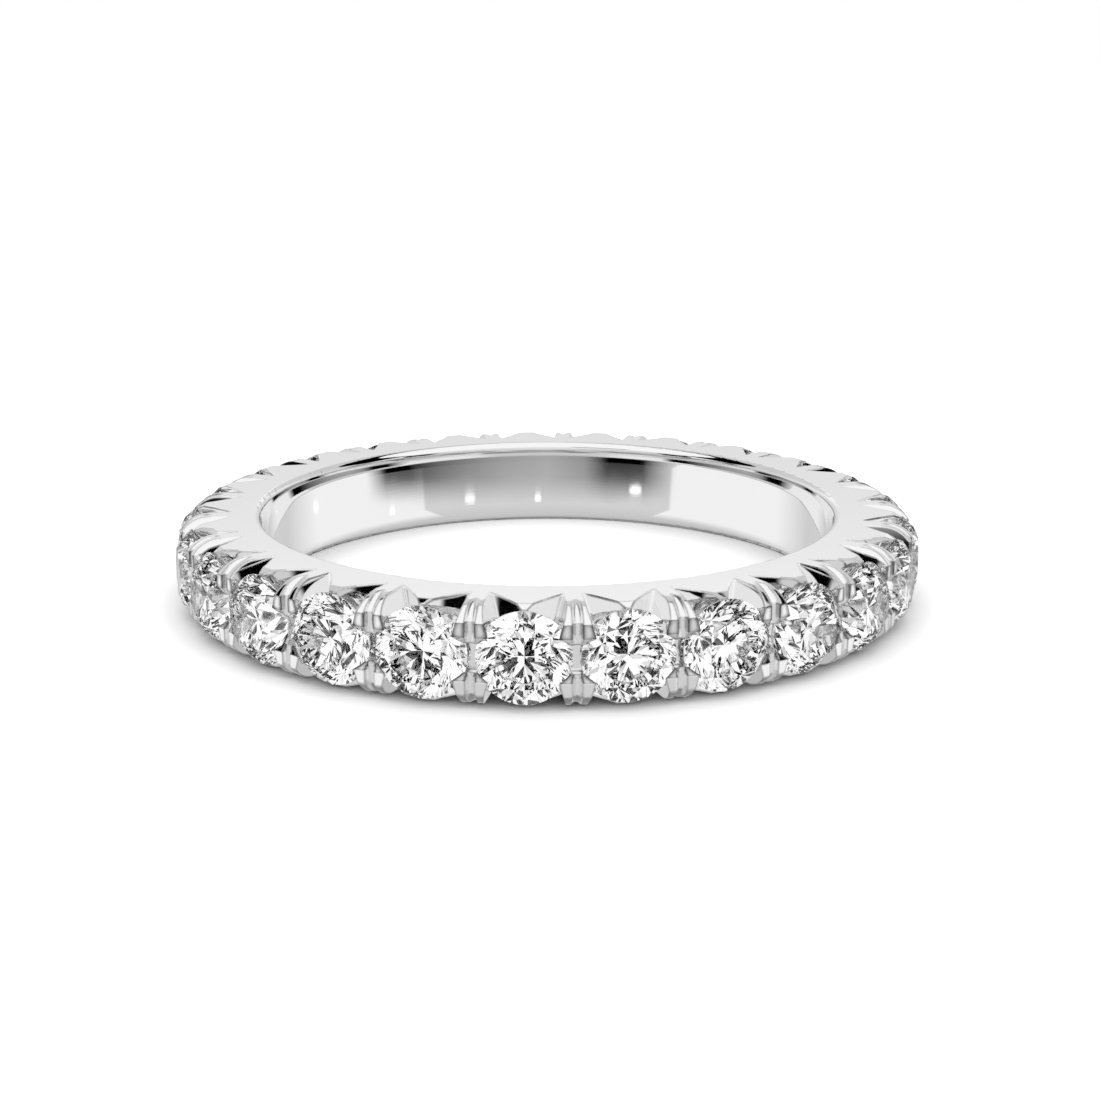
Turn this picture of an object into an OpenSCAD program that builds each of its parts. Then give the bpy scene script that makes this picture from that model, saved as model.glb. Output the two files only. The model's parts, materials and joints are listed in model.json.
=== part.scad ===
// Eternity ring: one cast band with a full circle of round brilliants held by shared prongs.
// The ring lies on its side. The origin is at the bottom centre, and +Z runs along the finger.

/* [Shank] */
// Inner diameter, the finger size
finger_d = 17.35; // [16.6:0.05:20]
// Width of the band along the finger
band_w = 2.77; // [2.66:0.01:3.4]
// Length of the straight middle of the bore
bore_land = 1.0; // [0.4:0.1:1.4]
// Radius of the soft rounding on each side of the bore
comfort_r = 3.9; // [2.5:0.1:8]
// Rounding of the inner edges
edge_r = 0.2; // [0.05:0.01:0.3]
// Metal left between the bore and the bottom of a notch
notch_floor = 0.74; // [0.4:0.02:0.95]
// Included angle of the notches between the stones
notch_angle = 90; // [70:1:100]
// Radius of the hollow in the notch walls
notch_bow = 6.5; // [5:0.5:20]

/* [Stones] */
// Diameter of a stone
stone_d = 2.53; // [2.3:0.01:2.6]
// Width of the table, flat to flat
table_w = 1.4; // [1.1:0.02:1.6]
// Height of the crown above the girdle
crown_h = 0.44; // [0.3:0.01:0.5]
// Thickness of the girdle at the facet corners
girdle_t = 0.06; // [0.05:0.005:0.1]
// Depth of the pavilion below the girdle
pavilion_h = 1.08; // [0.95:0.01:1.2]
// Length of the star facets as a share of the way from table to girdle
star_share = 0.5; // [0.4:0.01:0.6]
// Length of the lower girdle facets as a share of the way from girdle to culet
lower_share = 0.76; // [0.6:0.01:0.85]
// Smallest gap between two neighbouring girdles
stone_gap = 0.15; // [0.1:0.01:0.3]
// Metal between the bore and the tip of a stone
culet_wall = 1.015; // [0.8:0.005:1.3]

/* [Tongues] */
// Depth of a tongue's tip below the girdle beside it
tongue_drop = 0.025; // [0.01:0.005:0.05]
// Length of the bevel at the tip of a tongue, across the ring
bevel_l = 0.24; // [0.1:0.01:0.4]

/* [Fins and prongs] */
// Thickness of a fin at the side face of the band
fin_t = 0.5; // [0.36:0.01:0.6]
// Angle by which each side of a fin spreads towards the middle of the band
fin_flare = 16.3; // [10:0.1:20]
// Height of the prong faces above the middle of the girdle
prong_rise = 0.29; // [0.24:0.01:0.34]
// Radius of the rounded shoulder of a fin
shoulder_r = 0.98; // [0.9:0.01:1.1]
// Length of the shoulder, across the ring
shoulder_l = 0.8; // [0.7:0.01:0.85]
// Opening between the upper and the lower prong tips
prong_opening = 0.78; // [0.6:0.01:1]
// Height of the slope at a prong tip
tip_h = 0.2; // [0.1:0.01:0.25]
// Depth of the slope at a prong tip
tip_cut = 0.13; // [0.05:0.01:0.16]
// Depth of the saddle between the prong tips, below the prong faces
saddle_drop = 0.42; // [0.3:0.01:0.45]
// Width of the groove that parts a fin into two prongs
groove_w = 0.28; // [0.2:0.01:0.32]
// Depth of the groove at the prong faces
groove_depth = 0.18; // [0.1:0.01:0.2]
// Length of the groove on the side face of the band
groove_lead = 0.14; // [0.1:0.01:0.2]
// Radius of the groove's floor along the shoulder
groove_bend = 1.2; // [1.1:0.05:1.4]

/* [Fit] */
// Clearance between a stone and its seat
seat_gap = 0.02; // [0.01:0.005:0.03]
// Diameter of the drilled bottom of a seat
drill_d = 0.24; // [0.2:0.02:0.4]

/* [Hidden] */
$fn = 96;
bore_r = finger_d / 2;
half_w = band_w / 2;
stone_r = stone_d / 2;
table_r = table_w / 2;
half_girdle = girdle_t / 2;

// How far the cutters reach past the metal
past = 1;

// Distances from the finger axis
notch_r = bore_r + notch_floor;
girdle_r = bore_r + culet_wall + pavilion_h + half_girdle;
tongue_r = girdle_r - half_girdle - tongue_drop;
prong_r = girdle_r + prong_rise;
shoulder_at = prong_r - shoulder_l;
saddle_r = prong_r - saddle_drop;

// As many stones as fit round the ring
stone_count = floor(180 / asin((stone_d + stone_gap) / (2 * girdle_r)));
pitch = 360 / stone_count;

// Corners of the facets: the star tips lie on the planes of the kites beside them
kite_corner_r = table_r / cos(22.5);
kite_slope = crown_h / (stone_r - kite_corner_r);
star_r = table_r + star_share * (stone_r - table_r);
star_h = crown_h - kite_slope * (star_r * cos(22.5) - kite_corner_r);
lower_r = (1 - lower_share) * stone_r;
lower_h = pavilion_h - pavilion_h * lower_r * cos(22.5) / stone_r;

// Heights above the middle of the band: the prong tips and the lower end of the shoulder
tip_z = prong_opening / 2;
crease_z = half_w - shoulder_r + sqrt(pow(shoulder_r, 2) - pow(shoulder_l, 2));

// A fin starts inside the shank. Half its thickness at the side face and at the prong tips
fin_root_r = notch_r - notch_floor / 2;
fin_side = fin_t / 2;
fin_mid = fin_side + (half_w - tip_z) * tan(fin_flare);

function two_digits(i) = i < 10 ? str("0", i) : str(i);
function stone_name(i) = str("stone_", two_digits(i));

// Puts a child that is drawn with +Z away from the finger at a distance and angle on the ring
module on_ring(angle, distance) {
    rotate([0, 0, angle])
        translate([0, -distance, 0])
            rotate([90, 0, 0])
                children();
}

// Half of the shank's section: a comfort bore, a flat side face and the bevel of the tongues
module half_section() {
    round_at = bore_land / 2;
    edge_z = half_w - edge_r;
    edge_x = bore_r + comfort_r - sqrt(pow(comfort_r - edge_r, 2) - pow(edge_z - round_at, 2));
    meet_z = round_at + comfort_r * (edge_z - round_at) / (comfort_r - edge_r);
    bevel_z = stone_r + seat_gap;
    translate([bore_r, 0])
        square([tongue_r - bore_r, round_at]);
    intersection() {
        translate([bore_r + comfort_r, round_at])
            circle(comfort_r);
        translate([bore_r, 0])
            square([edge_x - bore_r, meet_z]);
    }
    translate([edge_x, edge_z])
        circle(edge_r);
    polygon([
        [edge_x, 0],
        [tongue_r, 0],
        [tongue_r, bevel_z],
        [tongue_r - bevel_l, half_w],
        [edge_x, half_w]
    ]);
}

// The shank's share of one sector, from the middle of one stone to the middle of the next
module shank_sector(i) {
    rotate_extrude(angle = pitch, start = i * pitch - 90, $fn = 200) {
        half_section();
        mirror([0, 1])
            half_section();
    }
}

// The notch between two stones, cut right across the band: the overlap of two round cuts that
// meet in the notch's bottom line and run out at the tips of the tongues
module notch() {
    reach = tongue_r - notch_r;
    spread = reach * tan(notch_angle / 2);
    chord = norm([spread, reach]);
    back = sqrt(pow(notch_bow, 2) - pow(chord / 2, 2)) / chord;
    centre = [spread / 2 - back * reach, -notch_r - reach / 2 - back * spread];
    translate([0, 0, -half_w - past])
        linear_extrude(band_w + 2 * past)
            intersection() {
                translate(centre)
                    circle(notch_bow);
                mirror([1, 0])
                    translate(centre)
                        circle(notch_bow);
            }
}

// A fin seen from the side: its radius along x and its height along y
module fin_profile() {
    difference() {
        intersection() {
            union() {
                translate([fin_root_r, -half_w])
                    square([shoulder_at - fin_root_r, band_w]);
                for (side = [-1, 1])
                    translate([shoulder_at, side * (half_w - shoulder_r)])
                        circle(shoulder_r);
            }
            translate([fin_root_r, -half_w])
                square([prong_r - fin_root_r, band_w]);
        }
        polygon([
            [saddle_r, -tip_z],
            [prong_r - tip_cut, -tip_z],
            [prong_r, -tip_z - tip_h],
            [prong_r + past, -tip_z - tip_h],
            [prong_r + past, tip_z + tip_h],
            [prong_r, tip_z + tip_h],
            [prong_r - tip_cut, tip_z],
            [saddle_r, tip_z]
        ]);
    }
}

// A fin seen from outside: thin at the side faces of the band, thick at the prong tips
module fin_plan() {
    polygon([
        [-fin_side, -half_w],
        [fin_side, -half_w],
        [fin_mid, -tip_z],
        [fin_mid, tip_z],
        [fin_side, half_w],
        [-fin_side, half_w],
        [-fin_mid, tip_z],
        [-fin_mid, -tip_z]
    ]);
}

module fin() {
    intersection() {
        rotate([90, 0, 0])
            translate([0, 0, fin_root_r - past])
                linear_extrude(prong_r - fin_root_r + 2 * past)
                    fin_plan();
        rotate([90, 0, -90])
            linear_extrude(2 * (fin_mid + past), center = true)
                fin_profile();
    }
}

// The groove that parts the prongs: a bent round cutter at each shoulder and a straight one
module groove() {
    tube_r = groove_w / 2;
    start_r = shoulder_at - groove_lead;
    floor_r = prong_r - groove_depth;
    chord = norm([floor_r - start_r, half_w - crease_z]);
    back = sqrt(pow(groove_bend, 2) - pow(chord / 2, 2)) / chord;
    bend_r = (start_r + floor_r) / 2 - back * (half_w - crease_z);
    bend_z = (half_w + crease_z) / 2 - back * (floor_r - start_r);
    for (side = [0, 1])
        mirror([0, 0, side])
            translate([0, -bend_r, bend_z])
                rotate([0, -90, 0])
                    rotate_extrude(angle = -65)
                        translate([groove_bend + tube_r, 0])
                            circle(tube_r, $fn = 48);
    translate([0, -floor_r - tube_r, -crease_z - tube_r / 2])
        cylinder(h = 2 * crease_z + tube_r, r = tube_r, $fn = 48);
}

// The seat of a stone: its outline all round, with the clearance, and a drilled bottom
module seat(i) {
    wide = stone_r + seat_gap;
    drill_r = drill_d / 2;
    bottom = -half_girdle - pavilion_h - 2 * seat_gap;
    on_ring((i % stone_count) * pitch, girdle_r)
        rotate_extrude()
            polygon([
                [0, bottom],
                [drill_r, bottom],
                [drill_r, bottom + drill_r * (pavilion_h + 2 * seat_gap) / wide],
                [wide, -half_girdle],
                [wide, half_girdle + seat_gap],
                [star_r + seat_gap, half_girdle + star_h + seat_gap],
                [star_r + seat_gap, half_girdle + crown_h + past],
                [0, half_girdle + crown_h + past]
            ]);
}

// The band from the middle of one stone to the middle of the next, with one fin between them
module sector(i) {
    difference() {
        union() {
            difference() {
                shank_sector(i);
                rotate([0, 0, (i + 0.5) * pitch])
                    notch();
            }
            rotate([0, 0, (i + 0.5) * pitch])
                difference() {
                    fin();
                    groove();
                }
        }
        seat(i);
        seat(i + 1);
    }
}

module band() {
    color("gainsboro")
        translate([0, 0, half_w])
            for (i = [0 : stone_count - 1])
                sector(i);
}

// A point at an angle, a distance from the stone's axis and a height above the girdle's middle
function at(angle, r, h) = [r * cos(angle), r * sin(angle), h];

// A round brilliant with its table towards +Z and a kite facet at every odd 22.5 degrees
module brilliant() {
    crown = half_girdle + crown_h;
    girdle_cut = stone_r * (1 - cos(11.25));
    upper_dip = girdle_cut * star_h / (stone_r - star_r);
    lower_dip = girdle_cut * (pavilion_h - lower_h) / (stone_r - lower_r);
    points = concat(
        [for (k = [0 : 7]) at(22.5 + 45 * k, kite_corner_r, crown)],
        [for (k = [0 : 7]) at(45 * k, star_r, half_girdle + star_h)],
        [for (k = [0 : 31]) at(11.25 * k, stone_r, half_girdle - (k % 2) * upper_dip)],
        [for (k = [0 : 31]) at(11.25 * k, stone_r, -half_girdle + (k % 2) * lower_dip)],
        [for (k = [0 : 7]) at(45 * k, lower_r, -half_girdle - lower_h)],
        [[0, 0, -half_girdle - pavilion_h]]
    );
    corner = 0;
    star = 8;
    upper = 16;
    lower = 48;
    half = 80;
    culet = 88;
    faces = concat(
        [[for (k = [7 : -1 : 0]) corner + k]],
        [for (k = [0 : 7]) [star + k, corner + (k + 7) % 8, corner + k]],
        [for (k = [0 : 7]) [corner + k, star + (k + 1) % 8, upper + 4 * k + 2, star + k]],
        [for (k = [0 : 7]) [star + k, upper + 4 * k + 2, upper + 4 * k + 1, upper + 4 * k]],
        [for (k = [0 : 7])
            [star + k, upper + 4 * k, upper + (4 * k + 31) % 32, upper + (4 * k + 30) % 32]],
        [for (k = [0 : 31])
            [upper + k, upper + (k + 1) % 32, lower + (k + 1) % 32, lower + k]],
        [for (k = [0 : 7]) [half + k, lower + 4 * k, lower + 4 * k + 1, lower + 4 * k + 2]],
        [for (k = [0 : 7])
            [half + k, lower + (4 * k + 30) % 32, lower + (4 * k + 31) % 32, lower + 4 * k]],
        [for (k = [0 : 7]) [culet, half + k, lower + 4 * k + 2, half + (k + 1) % 8]]
    );
    polyhedron(points, faces);
}

module stone(i) {
    color("aliceblue")
        translate([0, 0, half_w])
            on_ring((i - 1) * pitch, girdle_r)
                brilliant();
}

band();
for (i = [1 : stone_count])
    stone(i);
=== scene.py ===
import bpy
import json
import math
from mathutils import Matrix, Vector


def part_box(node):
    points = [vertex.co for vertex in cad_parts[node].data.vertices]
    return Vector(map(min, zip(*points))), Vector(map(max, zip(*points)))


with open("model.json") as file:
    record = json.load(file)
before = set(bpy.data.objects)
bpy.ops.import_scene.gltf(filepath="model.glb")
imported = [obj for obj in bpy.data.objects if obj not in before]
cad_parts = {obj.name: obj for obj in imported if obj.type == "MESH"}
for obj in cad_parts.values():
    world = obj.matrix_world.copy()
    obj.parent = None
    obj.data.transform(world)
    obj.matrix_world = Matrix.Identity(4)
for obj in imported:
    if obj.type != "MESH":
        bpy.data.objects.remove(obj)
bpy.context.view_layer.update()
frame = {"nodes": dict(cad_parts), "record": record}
scene = bpy.context.scene

# Camera
# A long lens in front of the ring and a little above it, turned so that the first
# stone stands just left of the middle, as in the product picture.
CAMERA_TURN = math.radians(3.15)
CAMERA_AWAY = 0.058674
CAMERA_HEIGHT = 0.017512
CAMERA_TILT = math.radians(90 - 15.46)
CAMERA_SWING = math.radians(0.085)
camera_data = bpy.data.cameras.new("camera")
camera_data.lens = 64.36
camera_data.sensor_width = 36
camera_data.clip_start = 0.001
camera = bpy.data.objects.new("camera", camera_data)
camera.location = (
    CAMERA_AWAY * math.sin(CAMERA_TURN),
    -CAMERA_AWAY * math.cos(CAMERA_TURN),
    CAMERA_HEIGHT,
)
camera.rotation_euler = (CAMERA_TILT, 0, CAMERA_TURN - CAMERA_SWING)
scene.collection.objects.link(camera)
scene.camera = camera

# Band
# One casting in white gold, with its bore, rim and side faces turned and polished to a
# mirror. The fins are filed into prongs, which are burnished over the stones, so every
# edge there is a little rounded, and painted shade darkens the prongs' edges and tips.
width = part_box("band")[1].z
half_width = width / 2
for mount in frame["record"]["mounts"]:
    if mount["name"] == "finger_hole":
        bore_r = mount["dims"]["r_mm"] / 1000

metal = bpy.data.materials.new("polished white gold")
metal.use_nodes = True
nodes, links = metal.node_tree.nodes, metal.node_tree.links
gold = nodes["Principled BSDF"]
gold.inputs["Metallic"].default_value = 1


def feed(value, socket):
    """Sets a socket to a plain value, or links the output of a node to it."""
    if isinstance(value, bpy.types.NodeSocket):
        links.new(value, socket)
    else:
        socket.default_value = value


def calc(operation, *values):
    """One sum with numbers."""
    node = nodes.new("ShaderNodeMath")
    node.operation = operation
    for value, socket in zip(values, node.inputs):
        feed(value, socket)
    return node.outputs["Value"]


def calc_way(operation, *values):
    """One sum with directions or places, each of three numbers."""
    node = nodes.new("ShaderNodeVectorMath")
    node.operation = operation
    for value, socket in zip(values, node.inputs):
        feed(value, socket)
    return node.outputs["Value" if operation in ("LENGTH", "DOT_PRODUCT") else "Vector"]


def between(value, low, high):
    """1 where a value lies between two others, and 0 elsewhere."""
    return calc("MULTIPLY", calc("GREATER_THAN", value, low), calc("LESS_THAN", value, high))


def spread(value, low, high, at_low, at_high):
    """Turns one range of a value into another, and holds it at the ends."""
    node = nodes.new("ShaderNodeMapRange")
    names = ("Value", "From Min", "From Max", "To Min", "To Max")
    for name, given in zip(names, (value, low, high, at_low, at_high)):
        feed(given, node.inputs[name])
    return node.outputs["Result"]


def blend(share, first, second, kind="RGBA"):
    """Lays two colours, numbers or directions over each other: the share is the second's."""
    node = nodes.new("ShaderNodeMix")
    node.data_type = kind
    for value, name in ((share, "Factor"), (first, "A"), (second, "B")):
        feed(value, node.inputs[name])
    return node.outputs["Result"]


def noise(place, scale, detail):
    """Soft patches of a size and a fineness."""
    node = nodes.new("ShaderNodeTexNoise")
    for name, value in (("Vector", place), ("Scale", scale), ("Detail", detail)):
        feed(value, node.inputs[name])
    return node.outputs["Fac"]


def rounded(radius, samples):
    """The way the surface faces once each edge is rounded."""
    node = nodes.new("ShaderNodeBevel")
    node.samples = samples
    node.inputs["Radius"].default_value = radius
    return node.outputs["Normal"]


def parts(way):
    """The three numbers of a direction or a place."""
    node = nodes.new("ShaderNodeSeparateXYZ")
    links.new(way, node.inputs["Vector"])
    return node.outputs


# Each place on the band has a height and a distance from the finger's axis.
surface = nodes.new("ShaderNodeNewGeometry")
across, along, up = parts(surface.outputs["Position"])
radius = calc_way("LENGTH", calc_way("MULTIPLY", surface.outputs["Position"], (1, 1, 0)))

# The bore and its rim were turned, so they mirror as two smooth curves swung round the
# finger's axis: the long one of the comfort fit and the short one of the rounded rim.
# A depth is measured outward from the bore.
COMFORT_R = 0.0039
MIRROR_HALF_FLAT = 0.00074
RIM_R = 0.0002
RIM_DEPTH = 0.00025
RIM_FROM = 0.000163
TURNED_DEPTH = 0.000405
rise = calc("SUBTRACT", up, half_width)
on_rim = calc("GREATER_THAN", calc("ABSOLUTE", rise), half_width - RIM_FROM)
flat_rise = calc("MAXIMUM", calc("MINIMUM", rise, MIRROR_HALF_FLAT), -MIRROR_HALF_FLAT)
rim_rise = calc("MULTIPLY", calc("SIGN", rise), half_width - RIM_R)
centre_rise = blend(on_rim, flat_rise, rim_rise, "FLOAT")
centre_r = blend(on_rim, bore_r + COMFORT_R, bore_r + RIM_DEPTH, "FLOAT")
inward = calc("DIVIDE", calc("MINIMUM", calc("SUBTRACT", radius, centre_r), 0), radius)
curve = nodes.new("ShaderNodeCombineXYZ")
feed(calc("MULTIPLY", across, inward), curve.inputs["X"])
feed(calc("MULTIPLY", along, inward), curve.inputs["Y"])
feed(calc("SUBTRACT", rise, centre_rise), curve.inputs["Z"])
turned = calc_way("NORMALIZE", curve.outputs["Vector"])
in_bore = calc("LESS_THAN", radius, bore_r + TURNED_DEPTH)

# The last buffing leaves a faint haze in soft patches and hair-fine lines along the band,
# and rounds its edges a little. The scales are patches and lines in a metre.
HAZE_SCALE = 900
HAZE_SPAN = (0.35, 0.75)
HAZE_LEAST = 0.02
HAZE_MOST = 0.05
LINE_SCALE = 1600
LINE_STRETCH = (1, 1, 14)
LINE_DEPTH = 0.00002
LINE_STRENGTH = 0.0015
EDGE_ROUNDING = 0.00009
place = nodes.new("ShaderNodeTexCoord").outputs["Object"]
haze = spread(noise(place, HAZE_SCALE, 3), *HAZE_SPAN, HAZE_LEAST, HAZE_MOST)
links.new(haze, gold.inputs["Roughness"])
burnished = rounded(EDGE_ROUNDING, 6)
lines = nodes.new("ShaderNodeBump")
lines.inputs["Strength"].default_value = LINE_STRENGTH
lines.inputs["Distance"].default_value = LINE_DEPTH
feed(noise(calc_way("MULTIPLY", place, LINE_STRETCH), LINE_SCALE, 2), lines.inputs["Height"])
feed(blend(in_bore, burnished, turned, "VECTOR"), lines.inputs["Normal"])
links.new(lines.outputs["Normal"], gold.inputs["Normal"])

# The edges of the prongs get painted shade, and their filed tips get painted shade that darkens
# towards their outlines.
# A turn is the cosine of the angle by which the rounding turns the surface there.
POLISH = 0.92
EDGE_SHADE = 0.5
EDGE_SHADE_TURN = (0.9, 0.95)
TIP_SHADE = 0.1
TIP_SHADE_TURN = (0.9, 0.995)
PRONG_ROUNDING = 0.0002
SHANK_DEPTH = 0.001525
PRONG_DEPTH = 0.002275
# Lower and upper tips, from and to which share of the band's width
PRONG_TIPS = ((0.285, 0.38), (0.712, 0.852))
edge_turn = calc_way("DOT_PRODUCT", burnished, surface.outputs["Normal"])
# Painted shade: the base colour darkens where the rounding turns the surface at an edge, except in
# the shank.
painted_edge_shade = spread(edge_turn, *EDGE_SHADE_TURN, EDGE_SHADE, POLISH)
in_shank = calc("LESS_THAN", radius, bore_r + SHANK_DEPTH)
edge_tone = calc("MAXIMUM", painted_edge_shade, calc("MULTIPLY", in_shank, POLISH))
swell = calc_way("DOT_PRODUCT", rounded(PRONG_ROUNDING, 4), surface.outputs["Normal"])
# Painted shade: on the prong tips the base colour darkens towards their outlines.
painted_tip_shade = spread(swell, *TIP_SHADE_TURN, TIP_SHADE, 1.0)
on_tip = calc("ADD", *(between(up, low * width, high * width) for low, high in PRONG_TIPS))
on_prong = calc("MULTIPLY", calc("GREATER_THAN", radius, bore_r + PRONG_DEPTH), on_tip)
tip_shade_tone = blend(on_prong, 1.0, painted_tip_shade, "FLOAT")
links.new(calc("MULTIPLY", edge_tone, tip_shade_tone), gold.inputs["Base Color"])

band = frame["nodes"]["band"]
band.data.materials.clear()
band.data.materials.append(metal)

# Stones
# Twenty-five round brilliants of clear, colourless stone with flat, sharp facets. The
# girdle round each one is only ground, so it is frosted where the facets are clear.
# Each sits in its own cut seat, under the prongs of its two neighbouring fins.
STONE_IOR = 2.417
GIRDLE_FROST = 0.4
# Cosines between a stone's own axis and the way a face looks, on the girdle and past it
GIRDLE_FACING = (0.25, 0.3)
OUTER_GLINT = (0.05, 0.05, 0.05, 1)
WHITE = (1, 1, 1, 1)
clear_stone = bpy.data.materials.new("clear cut stone")
clear_stone.use_nodes = True
nodes, links = clear_stone.node_tree.nodes, clear_stone.node_tree.links
brilliant = nodes["Principled BSDF"]
brilliant.inputs["Base Color"].default_value = WHITE
brilliant.inputs["IOR"].default_value = STONE_IOR
brilliant.inputs["Transmission Weight"].default_value = 1
surface = nodes.new("ShaderNodeNewGeometry")
outward = calc_way("NORMALIZE", calc_way("MULTIPLY", surface.outputs["Position"], (1, 1, 0)))
facing = calc("ABSOLUTE", calc_way("DOT_PRODUCT", outward, surface.outputs["True Normal"]))
frost = spread(facing, *GIRDLE_FACING, GIRDLE_FROST, 0.0)
links.new(frost, brilliant.inputs["Roughness"])

# For the camera only, a painted dark tint dims the studio's reflection on the outside of each facet,
# so the sparkle inside shows.
seen = nodes.new("ShaderNodeLightPath")
glint = blend(seen.outputs["Is Camera Ray"], WHITE, OUTER_GLINT)
links.new(glint, brilliant.inputs["Specular Tint"])

for name, stone in frame["nodes"].items():
    if name.startswith("stone_"):
        stone.data.materials.clear()
        stone.data.materials.append(clear_stone)

# Floor
# A wide sweep of matt white paper, overexposed so that it meets the white background
# with no line. Only the camera sees it: the metal mirrors the grey tent below instead.
FLOOR_HALF = 0.6
PAPER = (1.8, 1.8, 1.8, 1)
floor_mesh = bpy.data.meshes.new("floor")
floor_mesh.from_pydata(
    [
        (-FLOOR_HALF, -FLOOR_HALF, 0),
        (FLOOR_HALF, -FLOOR_HALF, 0),
        (FLOOR_HALF, FLOOR_HALF, 0),
        (-FLOOR_HALF, FLOOR_HALF, 0),
    ],
    [],
    [(0, 1, 2, 3)],
)
floor = bpy.data.objects.new("floor", floor_mesh)
scene.collection.objects.link(floor)
paper = bpy.data.materials.new("white paper")
paper.use_nodes = True
nodes, links = paper.node_tree.nodes, paper.node_tree.links
matt = nodes["Principled BSDF"]
matt.inputs["Base Color"].default_value = PAPER
matt.inputs["Roughness"].default_value = 0.9
matt.inputs["Specular IOR Level"].default_value = 0
seen = nodes.new("ShaderNodeLightPath")
links.new(seen.outputs["Is Camera Ray"], matt.inputs["Alpha"])
floor_mesh.materials.append(paper)

# Studio light
# A tent of cloth, white above and in front and light grey behind the ring, lights it.
# Black cards lean along each side, stand low in front and hang high there, and draw the
# dark lines in the metal. Five small lamps dot the bore.
world = bpy.data.worlds.new("studio")
scene.world = world
world.use_nodes = True
nodes, links = world.node_tree.nodes, world.node_tree.links
nodes.clear()


def tones(value, start, end, *stops):
    """A row of greys along a value: each stop is a place on it and a brightness."""
    ramp = nodes.new("ShaderNodeValToRGB")
    feed(calc("DIVIDE", calc("SUBTRACT", value, start), end - start), ramp.inputs["Fac"])
    spots = ramp.color_ramp.elements
    spots[0].position = (stops[0][0] - start) / (end - start)
    spots[1].position = (stops[-1][0] - start) / (end - start)
    for stop, grey in stops[1:-1]:
        spots.new((stop - start) / (end - start))
    for spot, (stop, grey) in zip(spots, stops):
        spot.color = (grey, grey, grey, 1)
    return ramp.outputs["Color"]


def by_height(*stops):
    """Greys from straight below to straight above, in degrees."""
    return tones(height, -90, 90, *stops)


def by_bearing(*stops):
    """Greys all round, in degrees from straight behind the ring."""
    return tones(bearing, -180, 180, *stops)


turn_back = nodes.new("ShaderNodeVectorRotate")
turn_back.rotation_type = "Z_AXIS"
turn_back.inputs["Angle"].default_value = -CAMERA_TURN
links.new(nodes.new("ShaderNodeTexCoord").outputs["Generated"], turn_back.inputs["Vector"])
way = turn_back.outputs["Vector"]
right, behind, up = parts(way)
height = calc("MULTIPLY", calc("ARCSINE", up), 180 / math.pi)
bearing = calc("MULTIPLY", calc("ARCTAN2", right, behind), 180 / math.pi)

# Lean is 0 on the seam between the tent's back and front, and grows towards the front.
# The seam rises backwards and to both sides, and the leaning cards hang along it.
SEAM_BACKWARDS = 1.3
SEAM_SIDEWAYS = 0.6
over_back = calc("SUBTRACT", up, calc("MULTIPLY", behind, SEAM_BACKWARDS))
aside = calc("MAXIMUM", calc("ABSOLUTE", right), 0.001)
lean = calc("SUBTRACT", calc("DIVIDE", over_back, aside), SEAM_SIDEWAYS)

# Each pair is a height or a bearing and the brightness there.
behind_tone = by_height((-90, 0.2), (-40, 0.3), (-28, 0.62), (-14, 0.66), (8, 0.72), (13, 0.8),
                        (15, 0.86), (18.5, 1.0), (20, 0.8), (24, 0.68), (40, 0.62), (54, 0.6))
side_tone = by_height((-90, 0.5), (-30, 0.56), (-25, 0.62), (-20, 0.95), (-8, 0.95), (4, 0.75),
                      (20, 0.65), (54, 0.62))
front_tone = by_height((-90, 0.6), (-28, 0.6), (-18, 0.68), (-14, 0.7), (0, 0.7), (4, 1.0))
at_side = tones(calc("ABSOLUTE", bearing), 0, 180, (40, 0), (65, 1))
tent = blend(at_side, behind_tone, side_tone)
tent = blend(tones(lean, -1, 1, (-0.02, 0), (0.02, 1)), tent, front_tone)

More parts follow.
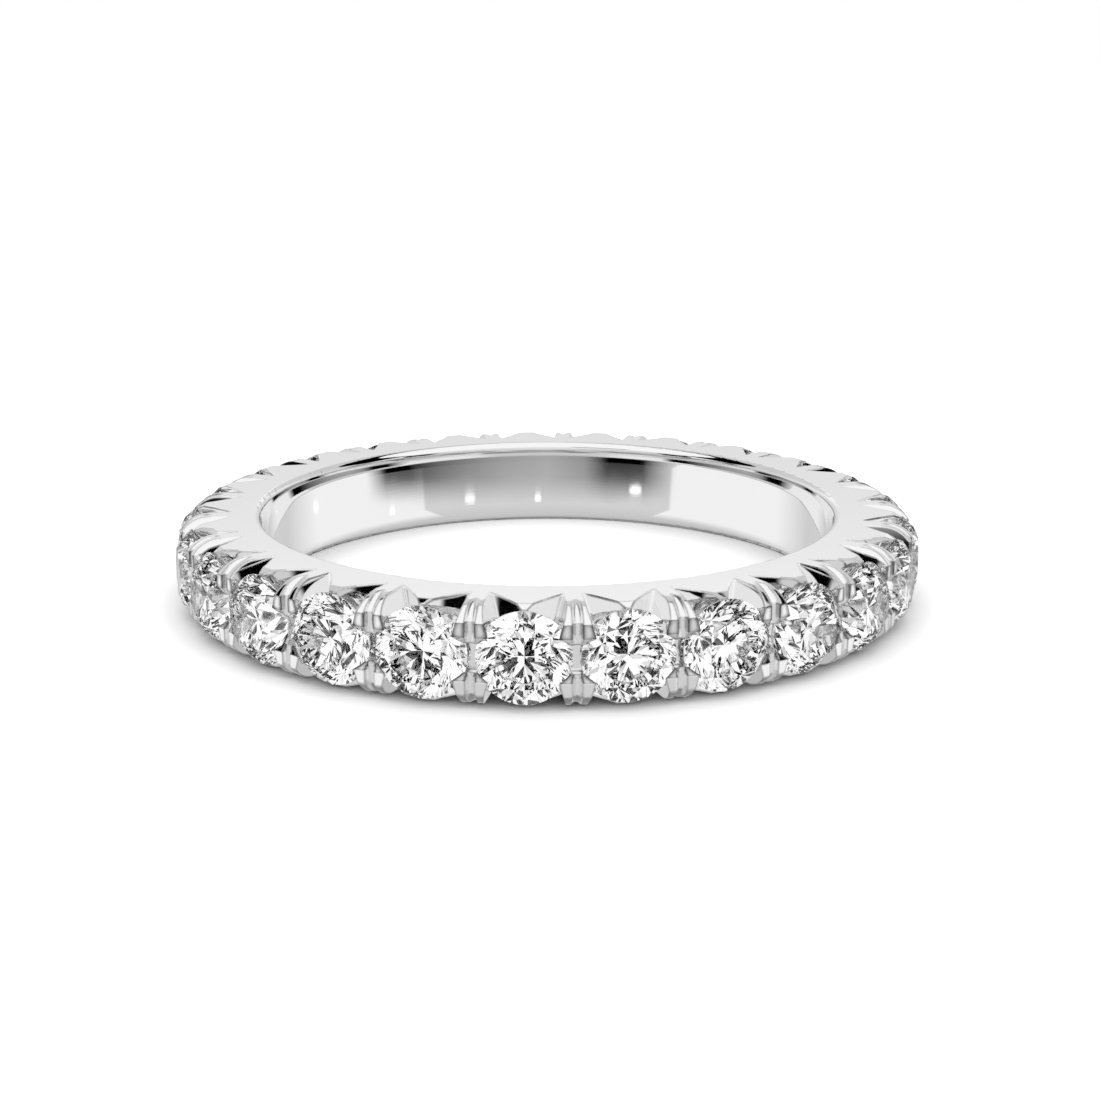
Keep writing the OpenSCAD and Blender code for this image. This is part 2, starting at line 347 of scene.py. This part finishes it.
BLACK = (0, 0, 0, 1)
leaning_cards = calc(
    "MULTIPLY",
    tones(lean, -1, 1, (-0.38, 0), (-0.34, 1), (0.32, 1), (0.36, 0)),
    by_height((-5, 0), (-3, 1)),
)
low_cards = calc(
    "MULTIPLY",
    by_bearing((-180, 0.4), (-164, 0.55), (-154, 1), (-138, 1), (-122, 0), (96, 0), (106, 1),
               (118, 1), (132, 0.8), (160, 0.5), (180, 0.4)),
    by_height((-14, 0), (-13.5, 0.8), (-13, 1), (-4, 1), (0, 0)),
)
high_card = calc(
    "MULTIPLY",
    by_bearing((-172, 0), (-167, 1), (-146, 1), (-144, 0)),
    by_height((11.5, 0), (12, 1), (18, 1), (18.5, 0)),
)
for card in (calc("MAXIMUM", leaning_cards, low_cards), high_card):
    tent = blend(card, tent, BLACK)

# Bearing from straight behind the ring, height and half width of each lamp, in degrees
LAMPS = ((64, -14.1, 2), (109, -14.3, 1.5), (146, -13.95, 2.5), (176, -13.95, 1.5), (-141, -13.7, 3))
LAMP_HALF_HEIGHT = 0.14
LAMP = (1.3, 1.3, 1.3, 1)
for lamp_bearing, lamp_height, lamp_half in LAMPS:
    sideways = calc("DIVIDE", calc("SUBTRACT", bearing, lamp_bearing), lamp_half)
    upwards = calc("DIVIDE", calc("SUBTRACT", height, lamp_height), LAMP_HALF_HEIGHT)
    off_lamp = calc("ADD", calc("POWER", sideways, 2), calc("POWER", upwards, 2))
    tent = blend(tones(off_lamp, 0, 4, (0.7, 1), (1.2, 0)), tent, LAMP)

# Through the stones the tent shows as sharp patches of black, grey and white, with more
# white straight in front.
SPARKLE_SCALE = 2.1
FRONT_FROM = 0.8
FRONT_LIFT = 0.6
in_front = calc("MAXIMUM", calc("SUBTRACT", calc("MULTIPLY", behind, -1), FRONT_FROM), 0)
patches = calc("ADD", noise(way, SPARKLE_SCALE, 0), calc("MULTIPLY", in_front, FRONT_LIFT))
sparkle = tones(patches, 0, 1, (0.446, 0), (0.449, 0.72), (0.486, 0.84), (0.49, 1.18))
seen = nodes.new("ShaderNodeLightPath")
tent = blend(seen.outputs["Is Transmission Ray"], tent, sparkle)
tent = blend(seen.outputs["Is Camera Ray"], tent, WHITE)
light = nodes.new("ShaderNodeBackground")
sky = nodes.new("ShaderNodeOutputWorld")
links.new(tent, light.inputs["Color"])
links.new(light.outputs["Background"], sky.inputs["Surface"])

# Light crosses many facets before it leaves a stone, so it is followed for many bounces.
scene.view_settings.view_transform = "Standard"
scene.cycles.caustics_reflective = False
scene.cycles.caustics_refractive = False
scene.cycles.max_bounces = 18
scene.cycles.transmission_bounces = 16
scene.cycles.glossy_bounces = 12
scene.cycles.transparent_max_bounces = 8
